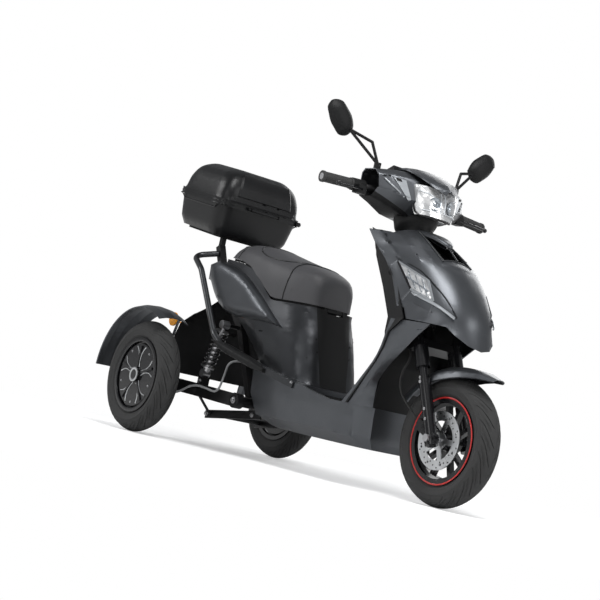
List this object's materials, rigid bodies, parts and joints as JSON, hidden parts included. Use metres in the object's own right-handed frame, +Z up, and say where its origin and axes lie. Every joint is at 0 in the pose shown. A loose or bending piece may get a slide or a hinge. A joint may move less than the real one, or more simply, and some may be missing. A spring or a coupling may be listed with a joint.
{
  "type": "three wheeled electric scooter",
  "caption": "Step-through electric scooter with a steered front wheel, two rear wheels on trailing arms, a long lift-up seat and a lidded top box.",
  "frame": {"origin": "on the ground, in the middle of the vehicle's length and width", "axes": "+X forward, +Y to the rider's left, +Z up"},
  "size_m": [1.7997, 0.788, 1.2254],
  "materials": {
    "panel_paint": "satin gunmetal",
    "black_plastic": "fine grain",
    "box_plastic": "fine grain, slightly glossy",
    "black_paint": "gloss black",
    "fork_paint": "gloss black",
    "tyre_rubber": "moulded rubber",
    "rim_paint": "gloss black",
    "disc_steel": "turned",
    "caliper_paint": "cast, painted",
    "bolt_steel": "plated",
    "lever_alloy": "satin black",
    "grip_rubber": "moulded ribs",
    "cable_rubber": "smooth",
    "lamp_lens": "clear moulded lens",
    "tail_lens": "clear red",
    "amber_lens": "prismatic amber",
    "mirror_face": "polished",
    "seat_vinyl": "grained vinyl",
    "battery_case": "plain"
  },
  "bodies": {
    "chassis": {"main_frame": "black_paint", "front_apron": "panel_paint", "knee_shield": "black_plastic", "wheel_well": "black_plastic", "side_lamps": "lamp_lens", "leg_panels": "panel_paint", "belly": "panel_paint", "floor_board": "black_plastic", "battery": "battery_case", "seat_body": "black_plastic", "side_blades": "panel_paint", "tail_lamp": "tail_lens", "splash_guard": "black_plastic", "swing_arm_right": "black_paint", "swing_arm_left": "black_paint", "lower_bracket": "black_paint", "shocks": "black_paint", "springs": "black_paint", "rear_axles": "bolt_steel", "rear_fender_right": "panel_paint", "rear_fender_left": "panel_paint", "reflectors": "amber_lens", "rack": "black_plastic", "side_rails": "black_paint", "footrests": "black_plastic", "box_base": "box_plastic", "motor_cable": "cable_rubber"},
    "steering": {"fork_crown": "black_paint", "fork_legs": "fork_paint", "front_axle": "bolt_steel", "front_fender": "panel_paint", "brake_caliper": "caliper_paint", "handlebar": "bolt_steel", "neck_collar": "black_plastic", "bar_cover": "panel_paint", "headlamp": "lamp_lens", "visor": "black_plastic", "dash": "black_plastic", "grips": "grip_rubber", "switch_pods": "black_plastic", "brake_levers": "lever_alloy", "mirror_arms": "black_plastic", "mirror_heads": "black_plastic", "mirror_glasses": "mirror_face", "brake_hose": "cable_rubber"},
    "front_wheel": {"front_tyre": "tyre_rubber", "front_rim": "rim_paint", "brake_disc": "disc_steel"},
    "rear_wheel_right": {"rear_tyre_right": "tyre_rubber", "rear_hub_right": "rim_paint"},
    "rear_wheel_left": {"rear_tyre_left": "tyre_rubber", "rear_hub_left": "rim_paint"},
    "seat": {"seat_cushion": "seat_vinyl", "seat_pan": "black_plastic"},
    "box_lid": {"box_lid": "box_plastic"}
  },
  "joints": [
    {"name": "steer", "type": "hinge", "parent": "chassis", "child": "steering", "pos_m": [0.66444, 0, 0.19009], "axis": [-0.4384, 0, 0.8988], "range_deg": [-40, 40]},
    {"name": "front_roll", "type": "hinge", "parent": "steering", "child": "front_wheel", "pos_m": [0.695, 0, 0.205], "axis": [0, 1, 0], "continuous": true},
    {"name": "rear_roll_right", "type": "hinge", "parent": "chassis", "child": "rear_wheel_right", "pos_m": [-0.62, -0.33, 0.205], "axis": [0, 1, 0], "continuous": true},
    {"name": "rear_roll_left", "type": "hinge", "parent": "chassis", "child": "rear_wheel_left", "pos_m": [-0.62, 0.33, 0.205], "axis": [0, 1, 0], "continuous": true},
    {"name": "seat_lift", "type": "hinge", "parent": "chassis", "child": "seat", "pos_m": [-0.012, 0, 0.56], "axis": [0, 1, 0], "range_deg": [0, 65]},
    {"name": "lid_open", "type": "hinge", "parent": "chassis", "child": "box_lid", "pos_m": [-0.55838, 0, 0.89851], "axis": [0, 1, 0], "range_deg": [0, 75]}
  ]
}
